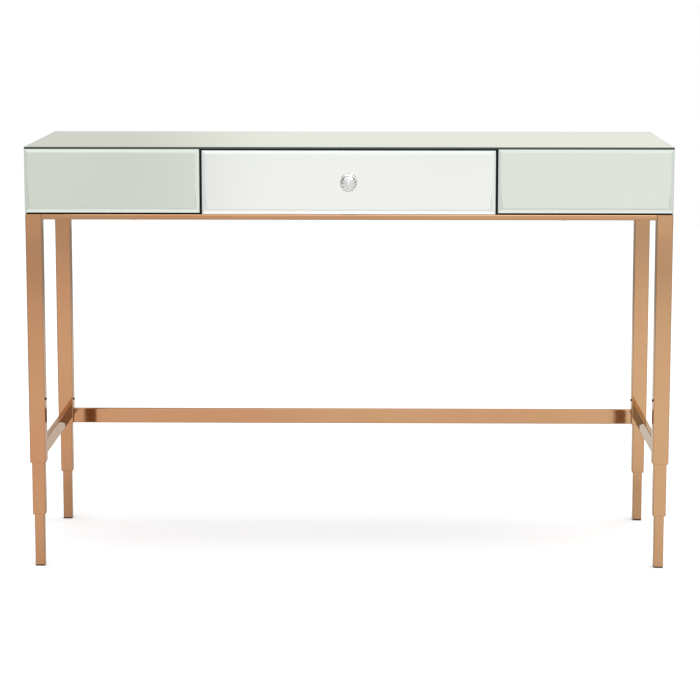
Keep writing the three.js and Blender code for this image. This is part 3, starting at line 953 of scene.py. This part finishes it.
def bevelled_sheet(low, high, axis, outward, drop):
    """A sheet filling a box; its face looks along the axis, outward 1 or -1; drop is the bevel's depth."""
    normal = "xyz".index(axis)
    across = [i for i in range(3) if i != normal]
    middle = (low + high) / 2
    size = high - low
    face_at = high[normal] if outward > 0 else low[normal]
    back_at = low[normal] if outward > 0 else high[normal]
    shape = bmesh.new()
    bevel_layer = shape.faces.layers.float.new("bevel")

    def ring(level, inset):
        verts = []
        for su, sv in CORNERS_OF_SHEET:
            spot = [0.0, 0.0, 0.0]
            spot[across[0]] = middle[across[0]] + su * (size[across[0]] / 2 - inset)
            spot[across[1]] = middle[across[1]] + sv * (size[across[1]] / 2 - inset)
            spot[normal] = level
            verts.append(shape.verts.new(spot))
        return verts

    edge_at = face_at - outward * drop  # where the bevel meets the sheet's side
    rings = [
        ring(back_at, ARRIS),
        ring(back_at + outward * ARRIS, 0),
        ring(edge_at - outward * ARRIS, 0),
    ]
    edge_rings = len(rings)
    for step in range(BEVEL_STEPS + 1):
        outer = 1 - step / BEVEL_STEPS
        inset = ARRIS + (BEVEL_WIDE - ARRIS) * (1 - outer)
        rings.append(ring(face_at - outward * drop * outer ** 2, inset))
    shape.faces.new(rings[0]).material_index = 1
    for index, (first, second) in enumerate(zip(rings, rings[1:])):
        ground = index >= edge_rings
        for i in range(4):
            j = (i + 1) % 4
            side = shape.faces.new((first[i], first[j], second[j], second[i]))
            side.material_index = 0 if ground else 1
            side[bevel_layer] = 1 - (index - edge_rings) / BEVEL_STEPS if ground else 0.0
    shape.faces.new(rings[-1]).material_index = 0
    finish_shape(shape, sharp_over=SHEET_CREASE)
    return shape


# %% [markdown]
# ### Mirrors
# The drawer's mirror is given a whiter silver than the two panels beside it, a painted reflection for its
# brighter look, and it is drilled for the knob. The top's bevel is shallower than the others. All six are
# made by one function, from their own boxes.

# %% Mirrors
KNOB_HOLE_RADIUS = 2.3 * MM
KNOB_HOLE_LENGTH = 8 * MM
SIDE_DROP = 0.7 * MM
TOP_DROP = 0.3 * MM
# part, axis its face looks along, which way, body, finish, depth of its bevel
MIRRORS = (
    ("mirror_top", "z", 1, TABLE, silver_top, TOP_DROP),
    ("mirror_front_left", "y", -1, TABLE, silver_left, SIDE_DROP),
    ("mirror_front_right", "y", -1, TABLE, silver_right, SIDE_DROP),
    ("mirror_end_left", "x", -1, TABLE, silver_left, SIDE_DROP),
    ("mirror_end_right", "x", 1, TABLE, silver_right, SIDE_DROP),
    ("mirror_drawer", "y", -1, DRAWER, silver_drawer, SIDE_DROP),
)
for node, axis, outward, body, silver, drop in MIRRORS:
    shape = bevelled_sheet(*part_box(node), axis, outward, drop)
    sheet = make_piece(f"glass_{node}", shape, [silver, glass_edge], body, [node])
    if node == "mirror_drawer":
        knob_low, knob_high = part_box("knob_screw")
        screw_middle = (knob_low + knob_high) / 2
        sheet_y = (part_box(node)[0].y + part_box(node)[1].y) / 2
        place = (screw_middle.x, sheet_y, screw_middle.z)
        cut_away(sheet, rod_shape("y", place, KNOB_HOLE_RADIUS, KNOB_HOLE_LENGTH))
    even_normals(sheet)
print("mirrors", len(MIRRORS))


# %% [markdown]
# ## Crystal knob
# The knob is cut like a gem: a small eight-sided table in front, two rows of crown facets down to the
# widest line, and a back that slopes in to a flat seat. The corners of each ring lie half a step round
# from the next, and a convex hull over all the corners lays the facets between them. It is left
# unsmoothed, because flat facets are what make a crystal sparkle. A round pocket is drilled in its back
# for the metal insert.

# %% Knob
KNOB_FACETS = 8
POCKET_RADIUS = 5.3 * MM
POCKET_LENGTH = 7.2 * MM
POCKET_SETBACK = 3.4 * MM
knob_low, knob_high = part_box("knob_crystal")
knob_centre = (knob_low + knob_high) / 2
knob_radius = (knob_high.z - knob_low.z) / 2
knob_depth = knob_high.y - knob_low.y
# share of the radius, share of the depth behind the front, corners, turn in half steps
KNOB_RINGS = (
    (0.40, 0.00, KNOB_FACETS, 0),
    (0.68, 0.10, KNOB_FACETS, 1),
    (0.90, 0.25, 2 * KNOB_FACETS, 0),
    (0.995, 0.42, 2 * KNOB_FACETS, 1),
    (0.995, 0.52, 2 * KNOB_FACETS, 1),
    (0.86, 0.78, KNOB_FACETS, 1),
    (0.58, 1.00, KNOB_FACETS, 0),
)
shape = bmesh.new()
for share, behind, corners, turn in KNOB_RINGS:
    for i in range(corners):
        angle = 2 * math.pi * (i + turn / 2) / corners
        shape.verts.new((
            knob_centre.x + share * knob_radius * math.cos(angle),
            knob_low.y + behind * knob_depth,
            knob_centre.z + share * knob_radius * math.sin(angle),
        ))
bmesh.ops.convex_hull(shape, input=shape.verts)
bmesh.ops.recalc_face_normals(shape, faces=shape.faces)
knob = make_piece("cut_crystal_knob", shape, [crystal], DRAWER, ["knob_crystal"])
pocket = (knob_centre.x, knob_high.y - POCKET_SETBACK, knob_centre.z)
cut_away(knob, rod_shape("y", pocket, POCKET_RADIUS, POCKET_LENGTH))
print("knob", round(2 * knob_radius / MM), "mm across")

# %% [markdown]
# ### Insert
# A bright metal insert is glued into the knob's pocket and spreads out to a collar on the drawer's face.
# It is a turned cup with a closed, domed front, so the screw never shows through the crystal.

# %% Insert
collar_low, collar_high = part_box("knob_collar")
# radius and way back, from the domed front back to the seat and in round the screw
INSERT_PROFILE = (
    (0.01, 0.0), (1.6, 0.12), (3.1, 0.5), (4.2, 1.1), (4.8, 1.9), (5.0, 2.8),
    (5.0, 7.0), (5.3, 7.5), (6.4, 8.3), (7.4, 9.1), (8.0, 9.9), (8.0, 10.8),
    (7.8, 11.0), (2.4, 11.0), (2.4, 2.6), (0.01, 2.4),
)
place = Matrix.Translation((knob_centre.x, collar_low.y, knob_centre.z))
insert = turned_shape(INSERT_PROFILE, place)
make_piece("knob_insert", insert, [chrome], DRAWER, ["knob_collar"])
print("insert", round((collar_high.y - collar_low.y) / MM, 1), "mm long")


# %% [markdown]
# ## Parts that keep their made shape
# Boards, slides, screws, glides and stops are already the right shape. They get their finishes, and a
# small rounding along their edges, because no real edge is perfectly sharp and a rounded one catches
# the light.

# %% Finishes and eased edges for the remaining parts
EASED_STEPS = 2
EASED_OVER = math.radians(40)


def keep_part(node, finish, ease):
    """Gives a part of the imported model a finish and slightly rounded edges."""
    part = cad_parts[node]
    part.data.materials.clear()
    part.data.materials.append(finish)
    rounding = part.modifiers.new("eased_edges", "BEVEL")
    rounding.width = ease
    rounding.segments = EASED_STEPS
    rounding.limit_method = "ANGLE"
    rounding.angle_limit = EASED_OVER
    rounding.harden_normals = True


# start of the name, finish, width of the eased edge
KEPT = (
    ("case_", paint, 0.6 * MM),
    ("drawer_", paint, 0.6 * MM),
    ("slide_", zinc, 0.2 * MM),
    ("frame_screw", zinc, 0.12 * MM),
    ("knob_screw", zinc, 0.12 * MM),
    ("foot_glide", nylon, 0.4 * MM),
    ("bumper", rubber, 0.4 * MM),
)
kept = 0
for node in sorted(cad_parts):
    for start, finish, ease in KEPT:
        if node.startswith(start):
            keep_part(node, finish, ease)
            kept += 1
print("parts kept", kept)
